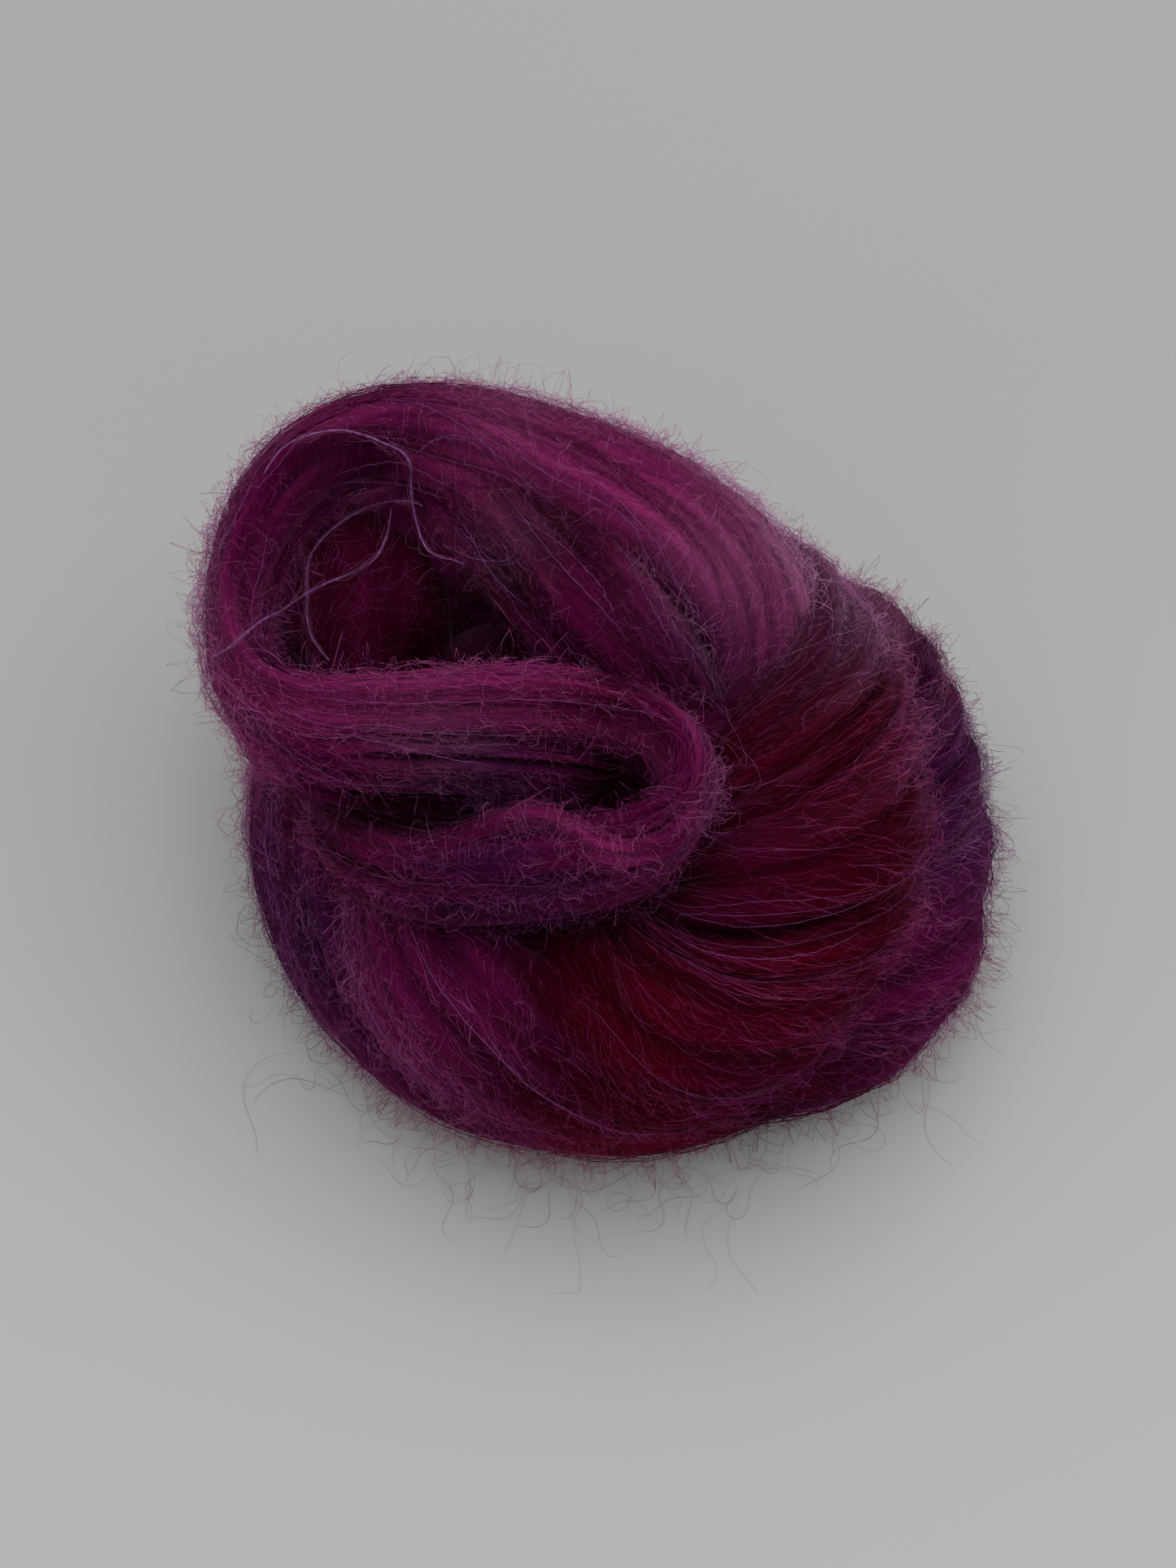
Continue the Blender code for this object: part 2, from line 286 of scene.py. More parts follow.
bundles = {
    "base_turn": baseTurn,
    "fan_turn": fanTurn,
    "top_loop": topLoop,
    "under_fold": underFold,
    "fold_curl": foldCurl,
    "inner_band": innerBand,
    "heart_curl": heartCurl,
    "inner_yarn": innerYarn,
}
looseCore = ("heart_curl", "inner_yarn")  # bundles with no strands that lie in order
fineSteps = 900  # places along a bundle where its line is worked out
phaseStep = 1.7  # keeps the streaks of one bundle from those of the next
fullTwist = 720  # degrees that a closed bundle twists in going once round
finerGrooves = (0.30, 0.14)  # depth of middling and fine grooves, as a share of the coarse
slitEnds = 0.04  # share of a bundle's length over which a slit opens

# Slits cut between strands, also painted dark as shade: the place round the bundle at both ends in
# radians, from and to along it (0 to 1), width and depth in mm
slits = {
    "under_fold": [(1.40, 1.75, 0.38, 0.86, 0.5, 2.2), (6.05, 6.25, 0.22, 0.62, 1.0, 2.0)],
    "top_loop": [(2.80, 2.80, 0.84, 0.95, 0.9, 2.2)],
    "fan_turn": [(5.30, 5.45, 0.26, 0.37, 0.7, 1.8)],
}

# Hollows where hardly any light gets in, painted as shade into the colour: centre in mm, radius,
# strength
hollows = [
    ((2.5, -12.0, 45), 5.5, 0.9),
    ((-17, 17, 31), 4.5, 0.85),
    ((-35, 0.3, 51.5), 3.2, 0.92),
    ((-34.6, 1.2, 54.8), 2.8, 0.90),
    ((-9, 13, 34), 5.0, 0.80),
    ((-20.5, 12.5, 36.5), 4.5, 0.85),
    ((-36.5, 15.5, 30.5), 5.0, 0.92),
    ((-26, -14, 43), 2.8, 0.95),
    ((-22, -14.8, 44.4), 3.2, 0.97),
    ((-18.5, -16, 45.2), 3.2, 0.97),
    ((-14.5, -16.6, 46.3), 3.0, 0.97),
    ((-9, -16.8, 47), 2.2, 0.8),
    ((-16, -26.5, 38), 5.0, 0.6),
    ((-31.5, 26.5, 52), 5.0, 0.6),
    ((-26.5, 28.5, 52), 5.0, 0.6),
    ((4, -3.5, 55.5), 4.0, 0.85),
    ((10, -4.5, 54), 4.0, 0.75),
    ((-2, 4, 46), 6.0, 0.5),
]


def smoothRows(table, count, closed=False):
    # The table's columns at even places along a smooth line through its rows
    rows = np.array(table, dtype=float)
    if closed:
        before, first, after = rows[-1].copy(), rows[0].copy(), rows[1].copy()
        before[5] -= fullTwist
        first[5] += fullTwist
        after[5] += fullTwist
        rows = np.vstack([before, rows, first, after])
    else:
        rows = np.vstack([2 * rows[0] - rows[1], rows, 2 * rows[-1] - rows[-2]])
    steps = np.linalg.norm(np.diff(rows[:, :3], axis=0), axis=1)
    knots = np.concatenate([[0], np.cumsum(steps)])
    slopes = (rows[2:] - rows[:-2]) / (knots[2:] - knots[:-2])[:, None]
    places = np.linspace(knots[1], knots[-2], count)
    spans = np.clip(np.searchsorted(knots, places, side="right") - 1, 1, len(knots) - 3)
    length = (knots[spans + 1] - knots[spans])[:, None]
    t = (places[:, None] - knots[spans][:, None]) / length
    out, into = slopes[spans - 1] * length, slopes[spans] * length
    return (
        rows[spans] * (2 * t**3 - 3 * t**2 + 1)
        + out * (t**3 - 2 * t**2 + t)
        + rows[spans + 1] * (3 * t**2 - 2 * t**3)
        + into * (t**3 - t**2)
    )


def prepare(name, bundle, phase):
    # One fine table for a bundle: centre, half sizes, twist, dye, outward and upward
    table = [row[:6] + dyes[row[6]] for row in bundle["rows"]]
    rows = smoothRows(table, fineSteps + 1, bundle["closed"])
    rows[:, :3] -= middle
    along = np.gradient(rows[:, :3], axis=0)
    if bundle["closed"]:
        along[0] = along[-1] = rows[1, :3] - rows[-2, :3]
    along /= np.linalg.norm(along, axis=1)[:, None]
    outward = np.cross(along, (0.0, 0.0, 1.0))
    outward /= np.linalg.norm(outward, axis=1)[:, None]
    upward = np.cross(outward, along)
    bundle["fine"] = np.hstack([rows, outward, upward])
    bundle["length"] = np.linalg.norm(np.diff(rows[:, :3], axis=0), axis=1).sum()
    bundle["radius"] = math.sqrt((rows[:, 3:5].mean(0) ** 2).mean())
    bundle["girth"] = 2 * math.pi * bundle["radius"]
    bundle["slits"] = slits.get(name, [])
    bundle["phase"] = phase
    bundle["core"] = name in looseCore


def grooves(bundle, s, turn):
    # How deep the coarse, middling and fine grooves are between strands, from 0 to 1
    groups = bundle["groups"]
    drift = 0.5 * np.sin(2 * np.pi * (2.0 * s + 0.1)) + 0.35 * np.sin(2 * np.pi * (5.0 * s + 0.4))
    low = 1 - np.abs(np.cos(groups * turn / 2))
    mid = 1 - np.abs(np.cos(groups * turn * 1.5 + drift * 1.6))
    fine = 1 - np.abs(np.cos(groups * turn * 3.5 - drift * 2.9 + 0.8))
    return low, mid, fine


def slitDepth(bundle, s, turn):
    # Depth in mm of the slits, which colourAt also paints dark as shade
    deepest = np.zeros(np.broadcast(s, turn).shape)
    for turn0, turn1, first, last, width, deep in bundle["slits"]:
        place = turn0 + (turn1 - turn0) * (s - first) / (last - first)
        off = (np.mod(turn - place + math.pi, 2 * math.pi) - math.pi) * bundle["radius"] / width
        opened = np.clip((s - first) / slitEnds, 0, 1) * np.clip((last - s) / slitEnds, 0, 1)
        deepest = np.maximum(deepest, deep * opened * np.exp(-off**2))
    return deepest


def onBundle(bundle, s, turn, lift):
    # Points, outward normals and dye at a place along (0 to 1) and round a bundle, with the
    # lift off its surface in mm
    fine, deep = bundle["fine"], bundle["groove"]
    s = np.mod(s, 1.0) if bundle["closed"] else np.clip(s, 0, 1)
    place = s * fineSteps
    before = np.minimum(place.astype(int), fineSteps - 1)
    share = (place - before)[..., None]
    row = fine[before] * (1 - share) + fine[before + 1] * share
    centre, wide, high = row[..., :3], row[..., 3:4], row[..., 4:5]
    outward, upward = row[..., 9:12], row[..., 12:15]
    uneven = turn + 0.22 * np.sin(2 * turn + 0.8) + 0.12 * np.sin(3 * turn + 2.0)
    angle = (uneven - np.radians(row[..., 5]))[..., None]
    low, mid, small = grooves(bundle, s, turn)
    crest = 1 - deep * low - deep * finerGrooves[0] * mid - deep * finerGrooves[1] * small
    crest = crest[..., None]
    normal = np.cos(angle) * outward / wide + np.sin(angle) * upward / high
    normal /= np.linalg.norm(normal, axis=-1)[..., None]
    points = centre + np.cos(angle) * crest * wide * outward + np.sin(angle) * crest * high * upward
    return points + normal * np.asarray(lift)[..., None], normal, row[..., 6:9]


def inHollows(points):
    # How much light is left at each point: 1 in the open, near 0 in a hollow
    light = np.ones(points.shape[:-1])
    for centre, radius, strength in hollows:
        away = np.linalg.norm(points - (np.array(centre) - middle), axis=-1) / radius
        light = light * (1 - strength * np.exp(-away**2))
    return light


def facingOut(points, normals):
    # 1 where a surface faces away from the middle of the hank, 0 where it faces up or inward
    flat = points[..., :2] / np.maximum(np.linalg.norm(points[..., :2], axis=-1), 1.0)[..., None]
    return np.clip((flat * normals[..., :2]).sum(-1), 0, 1)


def rimDepth(bundle, s, turn):
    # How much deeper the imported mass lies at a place, in mm: deeper round the rim, so that
    # the rim is soft, but not under the loop behind, and less deep low on the near side,
    # where the pile swells
    points, normals, _ = onBundle(bundle, s, turn, np.zeros(np.broadcast(s, turn).shape))
    if bundle["core"]:
        return np.zeros(points.shape[:-1])
    out, height = facingOut(points, normals), points[..., 2]
    near = np.clip(nearSwell["fade"] - height / nearSwell["over"], 0, 1)
    near = np.clip(-normals[..., 1], 0, 1) * near
    behind = ramp(height, rimPile["behindFrom"], rimPile["behindFull"])
    behind = np.clip(3 * normals[..., 1], 0, 1) * behind
    rim = out**1.5 * np.clip(1 + 2 * normals[..., 2], 0, 1)
    rim = rim * ramp(height, rimPile["from"], rimPile["full"])
    return rimPile["deeper"] * rim * (1 - behind) - nearSwell["out"] * near * out


def lightBehind(points, normals):
    # Where light from behind and the sides comes through the pile: not on the near side,
    # and less of it near the table
    high = np.maximum(ramp(points[..., 2], 4, 32), 0.25)
    return facingOut(points, normals) * np.clip(1 + 1.8 * normals[..., 1], 0, 1) * high


# Streaks of strands: how many round a bundle, their phase and swing, and their strength
streaks = ((5, 1, 1, 0.10), (12, 2, -1, 0.13), (27, 3, 2, 0.15))
paintedLight = {
    "coarse": 0.24, "middling": 0.10,  # painted shade: how much darker the grooves are
    "slit": 0.9, "slitFull": 1.5,  # painted shade: how much darker the slits are, from this depth in mm
    "behind": 0.35,  # painted glow: how much paler the pile is with light behind it
}


def colourAt(bundle, s, turn, points, thin=0.0):
    # The colour at a place: dye patches and streaks of strands, with painted shade in the
    # grooves, slits and hollows. Thin is 0 for packed fibres and 1 for a fibre by itself, painted
    # paler as a glow of light through it; painted light from all round makes fibres paler where they
    # face out
    phase = bundle["phase"]
    swing = 1.3 * np.sin(2 * np.pi * s + phase)
    shift = 0.02 * np.sin(4 * turn + phase) + 0.012 * np.sin(13 * turn + 2 * phase)
    _, normals, dye = onBundle(bundle, s + shift, turn, np.zeros(np.broadcast(s, turn).shape))
    colour = patched(dye, points)
    out = lightBehind(points, normals)
    # painted glow: light through thin fibres and from behind makes the colour paler
    paintedGlow = thin * (0.3 + 0.7 * out) + paintedLight["behind"] * out**2
    colour = mixed(colour, colour**paleness, paintedGlow)
    tone = sum(
        strength * np.sin(waves * turn + times * phase + along * swing)
        for waves, times, along, strength in streaks
    )
    low, mid, _ = grooves(bundle, np.mod(s, 1.0), turn)
    # painted shade: the grooves and slits darken the uneven tone of the streaks
    shade = np.exp(tone) * (1 - paintedLight["coarse"] * low**2 - paintedLight["middling"] * mid)
    slit = np.clip(slitDepth(bundle, s, turn) / paintedLight["slitFull"], 0, 1)
    shade = shade * (1 - paintedLight["slit"] * slit)
    # painted shade: the hollows darken the colour
    return colour * (shade * inHollows(points))[..., None]


for number, (name, bundle) in enumerate(bundles.items()):
    prepare(name, bundle, phaseStep * number)
report("bundles laid out")

# Where yarn shows: on the skin of the solid hank, and not inside it

hankSkin = BVHTree.FromPolygons(
    [v.co[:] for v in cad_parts["hank"].data.vertices],
    [p.vertices[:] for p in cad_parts["hank"].data.polygons],
)


def shows(points, within):
    # True for each point (mm) that lies within this many mm of the solid's skin
    return np.array([hankSkin.find_nearest(p * mm)[3] < within * mm for p in points])


# Materials

def nodesOf(name):
    material = bpy.data.materials.new(name)
    material.use_nodes = True
    tree = material.node_tree
    return material, tree, tree.nodes["Principled BSDF"]


def node(tree, kind, **settings):
    made = tree.nodes.new(kind)
    for key, value in settings.items():
        setattr(made, key, value)
    return made


def setInputs(made, values):
    for label, value in values.items():
        made.inputs[label].default_value = value


def mapRange(tree, source, limits, results, **settings):
    made = node(tree, "ShaderNodeMapRange", **settings)
    made.inputs["From Min"].default_value, made.inputs["From Max"].default_value = limits
    made.inputs["To Min"].default_value, made.inputs["To Max"].default_value = results
    tree.links.new(source, made.inputs["Value"])
    return made.outputs[0]


def dyedAndShaded(tree, shader, shade):
    # The piece's dye attribute, which holds painted shade and glow too, lighter and darker by the shade
    dye = node(tree, "ShaderNodeVertexColor", layer_name="dye")
    coloured = node(tree, "ShaderNodeVectorMath", operation="SCALE")
    tree.links.new(dye.outputs["Color"], coloured.inputs[0])
    tree.links.new(shade, coloured.inputs["Scale"])
    tree.links.new(coloured.outputs[0], shader.inputs["Base Color"])


bodyFinish = {
    "surface": {
        "Roughness": 0.8,
        "Specular IOR Level": 0.0,
        "Sheen Weight": 0.22,
        "Sheen Roughness": 0.30,
        "Sheen Tint": (1.0, 0.40, 0.80, 1),
    },
    "wander": {"Scale": 0.16, "Detail": 2.0},  # how finely the streaks wander
    "wanderBy": (3.0, 0.0, 0.0),  # and how far in mm
    "noise": {"Scale": 1.0, "Detail": 3.0, "Roughness": 0.6},
    "streaks": ((1.3, 0.06), (4.5, 0.10)),  # how fine across, and how drawn out along
    "contrast": (0.75, 1.25),  # the part of both noises that becomes the shade
    "shade": (0.75, 1.15),
    "bump": {"Strength": 0.35, "Distance": 0.0004},
}


def makeBodyMaterial(say):
    # Packed fibres: long streaks of uneven tone that follow the bundle, with painted shade between them
    # where the bump dips
    material, tree, shader = nodesOf("mohair_mass")
    link = tree.links.new
    uv = node(tree, "ShaderNodeUVMap", uv_map="UVMap")
    wander = node(tree, "ShaderNodeTexNoise")
    setInputs(wander, say["wander"])
    link(uv.outputs[0], wander.inputs["Vector"])
    swing = node(tree, "ShaderNodeVectorMath", operation="MULTIPLY_ADD")
    swing.inputs[1].default_value = say["wanderBy"]
    link(wander.outputs["Color"], swing.inputs[0])
    link(uv.outputs[0], swing.inputs[2])
    noises = []
    for across, drawn in say["streaks"]:
        mapping = node(tree, "ShaderNodeMapping")
        mapping.inputs["Scale"].default_value = (across, across * drawn, 1.0)
        noise = node(tree, "ShaderNodeTexNoise")
        setInputs(noise, say["noise"])
        link(swing.outputs[0], mapping.inputs["Vector"])
        link(mapping.outputs[0], noise.inputs["Vector"])
        noises.append(noise)
    both = node(tree, "ShaderNodeMath", operation="ADD")
    link(noises[0].outputs["Fac"], both.inputs[0])
    link(noises[1].outputs["Fac"], both.inputs[1])
    dyedAndShaded(tree, shader, mapRange(tree, both.outputs[0], say["contrast"], say["shade"]))
    bump = node(tree, "ShaderNodeBump")
    setInputs(bump, say["bump"])
    link(both.outputs[0], bump.inputs["Height"])
    link(bump.outputs[0], shader.inputs["Normal"])
    setInputs(shader, say["surface"])
    return material


fibreFinish = {
    "surface": {
        "Roughness": 0.6,
        "Sheen Weight": 0.0,
        "Sheen Roughness": 0.35,
        "Sheen Tint": (1.0, 0.35, 0.62, 1),
        "Subsurface Weight": 0.0,
        "Subsurface Radius": (1.0, 0.4, 0.8),
        "Subsurface Scale": 0.0001,
    },
    "noise": {"Scale": 900.0, "Detail": 2.0},  # unevenness of the dye along a fibre
    "contrast": (0.3, 0.7),
    "shade": (0.75, 1.25),
}
# What sets each kind of fibre apart
yarnSurface = {"Specular IOR Level": 0.03, "Sheen Weight": 0.08}
fuzzSurface = {"Specular IOR Level": 0.05, "Subsurface Weight": 1.0}
silkSurface = {"Specular IOR Level": 0.30, "Roughness": 0.35}


def makeFibreMaterial(name, say, surface):
    # Single fibres: the dye is in each fibre's own attribute, uneven along its length
    material, tree, shader = nodesOf(name)
    place = node(tree, "ShaderNodeTexCoord")
    noise = node(tree, "ShaderNodeTexNoise")
    setInputs(noise, say["noise"])
    tree.links.new(place.outputs["Object"], noise.inputs["Vector"])
    dyedAndShaded(tree, shader, mapRange(tree, noise.outputs["Fac"], say["contrast"], say["shade"]))
    setInputs(shader, {**say["surface"], **surface})
    return material


massMaterial = makeBodyMaterial(bodyFinish)
yarnMaterial = makeFibreMaterial("mohair_yarn", fibreFinish, yarnSurface)
fuzzMaterial = makeFibreMaterial("mohair_fuzz", fibreFinish, fuzzSurface)
silkMaterial = makeFibreMaterial("silk_thread", fibreFinish, silkSurface)


# The bundles' bodies

def setDyeAndShade(mesh, colours):
    # the dye attribute holds the colour with any painted shade, glow or sheen mixed in
    layer = mesh.attributes.new("dye", "FLOAT_COLOR", "POINT")
    layer.data.foreach_set("color", np.hstack([colours, np.ones((len(colours), 1))]).ravel())


def settle(name, mesh, material):
    # A new piece rides on the hank's body, and stands for the solid
    piece = bpy.data.objects.new(name, mesh)
    mesh.materials.append(material)
    bpy.context.scene.collection.objects.link(piece)
    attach(piece, "root")
    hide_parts("hank")


bodySay = {"below": 0.1, "cutAt": 0.00005}  # depth in mm under the pile, cut in m above 0


def makeBody(name, bundle, say):
    # A loft on a grid: rings along the bundle, sides round it, closed at its ends and below
    rings = round(bundle["length"] / bundle["step"])
    sides = bundle["sides"]
    s = np.linspace(0, 1, rings + 1)[:, None]
    turn = (2 * np.pi * np.arange(sides + 1) / sides)[None]
    s, turn = np.broadcast_arrays(s, turn)
    deep = pile + rimDepth(bundle, s, turn) + slitDepth(bundle, s, turn)
    points, _, _ = onBundle(bundle, s, turn, -say["below"] - deep)
    if bundle["closed"]:
        points[-1] = points[0]
    else:
        points[0] = bundle["fine"][0, :3]
        points[-1] = bundle["fine"][-1, :3]
    bm = bmesh.new()
    uv = bm.loops.layers.uv.new("UVMap")
    bmesh.ops.create_grid(bm, x_segments=rings, y_segments=sides, size=0.5, calc_uvs=True)
    for vert in bm.verts:
        ring = round((vert.co.x + 0.5) * rings)
        side = round((vert.co.y + 0.5) * sides)
        vert.co = points[ring, side] * mm
        for loop in vert.link_loops:
            loop[uv].uv = (side / sides * bundle["girth"], ring / rings * bundle["length"])
    bmesh.ops.remove_doubles(bm, verts=bm.verts, dist=1e-6)
    bmesh.ops.recalc_face_normals(bm, faces=bm.faces)
    bmesh.ops.bisect_plane(
        bm, geom=bm.verts[:] + bm.edges[:] + bm.faces[:], dist=1e-6,
        plane_co=(0, 0, say["cutAt"]), plane_no=(0, 0, -1), clear_outer=True,
    )
    bmesh.ops.holes_fill(bm, edges=[e for e in bm.edges if e.is_boundary], sides=0)
    co, place = [], []
    for vert in bm.verts:
        co.append(vert.co[:])
        place.append(vert.link_loops[0][uv].uv[:])
    mesh = bpy.data.meshes.new(name)
    bm.to_mesh(mesh)
    bm.free()
    co, place = np.array(co) / mm, np.array(place)
    s, turn = place[:, 1] / bundle["length"], place[:, 0] / bundle["radius"]
    setDyeAndShade(mesh, colourAt(bundle, s, turn, co))
    mesh.shade_smooth()
    return mesh


for name, bundle in bundles.items():
    settle(name, makeBody(name, bundle, bodySay), massMaterial)
report("bundle bodies")


# Fibres: many thin closed spindles joined in one mesh

def spindles(name, paths, radii, colours, sides=3):
    # paths: fibre, point, xyz in mm; the radius at both ends is nothing
    count, points, _ = paths.shape
    along = np.gradient(paths, axis=1)
    along /= np.maximum(np.linalg.norm(along, axis=2), 1e-9)[..., None]
    steep = np.abs(along[:, :1, 2]) < 0.8
    across = np.cross(along[:, 0], np.where(steep, [[0.0, 0.0, 1.0]], [[1.0, 0.0, 0.0]]))
    rings = []
    for i in range(1, points - 1):
        across = across - along[:, i] * (across * along[:, i]).sum(1)[:, None]
        across /= np.maximum(np.linalg.norm(across, axis=1), 1e-9)[:, None]
        beside = np.cross(along[:, i], across)
        for side in range(sides):
            angle = 2 * math.pi * side / sides
            offset = math.cos(angle) * across + math.sin(angle) * beside
            rings.append(paths[:, i] + offset * radii[:, i, None])
    verts = np.stack([paths[:, 0], *rings, paths[:, -1]], axis=1)
    perFibre = verts.shape[1]
    tris, quads = [], []
    last = perFibre - 1
    top = 1 + (points - 3) * sides
    for side in range(sides):
        after = (side + 1) % sides
        tris.append((0, 1 + after, 1 + side))
        tris.append((last, top + side, top + after))
        for low in range(1, top, sides):
            quads.append((low + side, low + after, low + sides + after, low + sides + side))
    shift = (np.arange(count) * perFibre)[:, None, None]
    loops = np.concatenate([(np.array(faces)[None] + shift).ravel() for faces in (tris, quads)])
    sizes = np.concatenate([np.full(len(tris) * count, 3), np.full(len(quads) * count, 4)])
    mesh = bpy.data.meshes.new(name)
    mesh.vertices.add(count * perFibre)
    mesh.vertices.foreach_set("co", (verts * mm).ravel())
    mesh.loops.add(len(loops))
    mesh.loops.foreach_set("vertex_index", loops)
    mesh.polygons.add(len(sizes))
    mesh.polygons.foreach_set("loop_start", np.concatenate([[0], np.cumsum(sizes)[:-1]]))
    mesh.update(calc_edges=True)
    mesh.shade_smooth()
    spread = np.repeat(colours[:, 1:-1], sides, axis=1)
    spread = np.concatenate([colours[:, :1], spread, colours[:, -1:]], axis=1)
    setDyeAndShade(mesh, spread.reshape(-1, 3))
    return mesh


def taper(points, thickest, power=0.5):
    # Radius along a spindle, thin towards both ends
    t = np.linspace(0, 1, points)
    return thickest * np.clip(np.sin(math.pi * t), 0, 1) ** power


growth = {
    "faceDown": -0.3,  # a surface whose normal dips lower than this faces down
    "underneath": 0.35,  # share of the fibres that stay there
    "faceOut": 0.5,  # a surface that faces out more than this is at the side
    "skin": 1.1,  # how near to the solid's skin in mm a fibre starts
    "lowest": 0.3,  # height in mm of the lowest start
    "clear": 0.12,  # height in mm at which a fibre lies on the table
}


def pick(bundle, rng, count, onTop):
    # Even random places over a bundle's surface that show, fewer underneath and in hollows;
    # onTop is the share kept where the surface faces up or inward
    fine = bundle["fine"]
    weight = fine[:-1, 3] + fine[:-1, 4]
    s = (rng.choice(fineSteps, count, p=weight / weight.sum()) + rng.random(count)) / fineSteps
    turn = rng.random(count) * 2 * math.pi
    points, normals, _ = onBundle(bundle, s, turn, np.zeros(count))
    facing = (normals[:, 2] > growth["faceDown"]) | (rng.random(count) < growth["underneath"])
    outside = facingOut(points, normals) > growth["faceOut"]
    share = np.where(outside | bundle["core"], 1.0, onTop)
    kept = rng.random(count) < share * (0.1 + 0.9 * inHollows(points))
    seen = shows(points, growth["skin"]) & (points[:, 2] > growth["lowest"]) & facing & kept
    return s[seen], turn[seen]


def fibres(piece, say, shape, leaveOut=()):
    # Random fibres over all the bundles, thinned to the number asked for
    rng = np.random.default_rng(say["seed"])
    paths, radii, colours = [], [], []
    for name, bundle in bundles.items():
        if name in leaveOut:
            continue
        count = round(bundle["girth"] * bundle["length"] * say["perArea"])
        s0, turn0 = pick(bundle, rng, count, say.get("onTop", 1.0))
        points, colour = shape(bundle, rng, s0[:, None], turn0[:, None], say)
        points[..., 2] = np.maximum(points[..., 2], growth["clear"])
        paths.append(points)
        colours.append(colour)
        thick = between(say["radius"], rng.random((len(s0), 1)))
        radii.append(thick * taper(say["points"], 1.0, say["blunt"])[None])
    paths, radii, colours = np.concatenate(paths), np.concatenate(radii), np.concatenate(colours)
    order = rng.permutation(len(paths))[: say["most"]]
    print(piece, "made", len(paths), "kept", len(order))
    return spindles(piece, paths[order], radii[order], colours[order])


strandSay = {
    "seed": 11, "perArea": 0.20, "most": 2200, "points": 9, "length": (20.0, 40.0),
    "radius": (0.045, 0.085), "blunt": 0.5, "wander": 0.85, "lean": 3.0, "top": 0.05,
    "wave": 0.12, "endsDip": 0.9, "shade": (0.85, 1.25),
}


def strand(bundle, rng, s0, turn0, say):
    # One turn of yarn that follows its bundle and dips in and out of the surface
    n = len(s0)
    t = np.linspace(-0.5, 0.5, say["points"])[None]
    s = s0 + t * between(say["length"], rng.random((n, 1))) / bundle["length"]
    wave = np.sin(2 * math.pi * (t * 0.9 + rng.random((n, 1))))
    swing = say["wander"] * rng.normal(size=(n, 1)) * wave
    swing = swing + say["lean"] * rng.normal(size=(n, 1)) * t
    turn = turn0 + swing / bundle["radius"]
    lift = say["top"] - pile * rng.random((n, 1))
    lift = lift + say["wave"] * np.sin(2 * math.pi * (t * 2 + rng.random((n, 1))))
    lift = lift - say["endsDip"] * (np.abs(t) * 2) ** 6
    lift = lift - slitDepth(bundle, s, turn) - rimDepth(bundle, s, turn)
    points, _, _ = onBundle(bundle, s, turn, lift)
    colour = colourAt(bundle, s, turn, points)
    return points, colour * between(say["shade"], rng.random((n, 1, 1)))


settle("yarn_strands", fibres("yarn_strands", strandSay, strand, looseCore), yarnMaterial)
report("yarn strands")

silkSay = {
    "seed": 23, "perArea": 0.0035, "most": 110, "points": 25, "length": (12.0, 34.0),
    "radius": (0.035, 0.060), "blunt": 0.35, "sway": 0.5, "kink": 0.07, "lift": 0.20,
    "wave": 0.10, "endsDip": 0.9,
}

# Silk threads that stand out on the surface: bundle, then places along (0 to 1) and turns
silkLines = [
    ("top_loop", [(0.26, 2.5), (0.21, 2.65), (0.18, 2.6), (0.14, 2.75), (0.10, 2.9), (0.06, 2.65)]),
    ("top_loop", [(0.25, 2.7), (0.20, 2.8), (0.16, 2.75), (0.12, 3.0), (0.08, 2.9)]),
    ("top_loop", [(0.30, 2.4), (0.27, 2.6), (0.23, 2.9), (0.19, 3.1)]),
    ("inner_band", [(0.34, 1.5), (0.46, 1.7), (0.58, 1.8), (0.66, 1.7)]),
    ("inner_band", [(0.50, 2.3), (0.59, 2.3), (0.67, 2.2), (0.79, 2.1)]),
    ("inner_band", [(0.56, 2.4), (0.66, 2.4), (0.74, 2.3), (0.86, 2.4)]),
    ("top_loop", [(0.40, 2.8), (0.43, 2.5), (0.46, 2.1), (0.48, 2.0), (0.50, 1.5), (0.53, 1.2)]),
    ("under_fold", [(0.10, 1.6), (0.25, 1.2), (0.32, 0.9), (0.39, 0.6), (0.50, 0.7)]),
    ("top_loop", [(0.55, 2.5), (0.60, 2.35), (0.65, 2.4), (0.69, 2.5), (0.73, 2.8)]),
    ("top_loop", [(0.54, 2.0), (0.60, 1.8), (0.65, 1.7), (0.69, 1.7)]),
    ("top_loop", [(0.56, 1.5), (0.61, 1.3), (0.65, 1.2), (0.70, 1.4)]),
    ("under_fold", [(0.30, 2.0), (0.40, 1.9), (0.50, 1.7), (0.62, 1.5)]),
    ("fan_turn", [(0.28, 5.3), (0.31, 5.5), (0.35, 5.5)]),
    ("fan_turn", [(0.27, 5.0), (0.31, 5.1), (0.34, 5.2)]),
]
# Silk loops that stand free of the surface, in the tables' mm
silkLoops = [
    [(-20.2, 28.6, 54.2), (-17.2, 29.4, 56), (-14, 28.5, 57), (-11.8, 27.4, 56.8), (-10.2, 25.4, 55.4)],
    [(-20.8, 27.8, 54), (-17.8, 28.8, 56.2), (-14.4, 28, 57.2), (-12.2, 26.6, 56.4), (-10.8, 25, 55.2)],
    [(-15.5, 22.2, 49.8), (-14, 20, 49.6), (-11.9, 16, 48.6), (-10, 13.6, 47.8), (-7, 11.1, 47.4)],
    [(-15.8, 21.4, 49.4), (-13, 18.2, 49.4), (-10.6, 15.8, 49.2), (-8.2, 14.8, 51.4), (-7.6, 15.8, 52)],
    [(-17, 19.5, 48), (-14.6, 17.6, 48.6), (-12, 16.4, 49.2), (-9.4, 15.4, 50.8), (-8, 16.2, 52.2)],
]
lineSay = {
    "seed": 29, "points": 41, "radius": (0.036, 0.056), "blunt": 0.3, "off": 0.28,
    "endsDip": 0.6, "kink": 0.06,
}


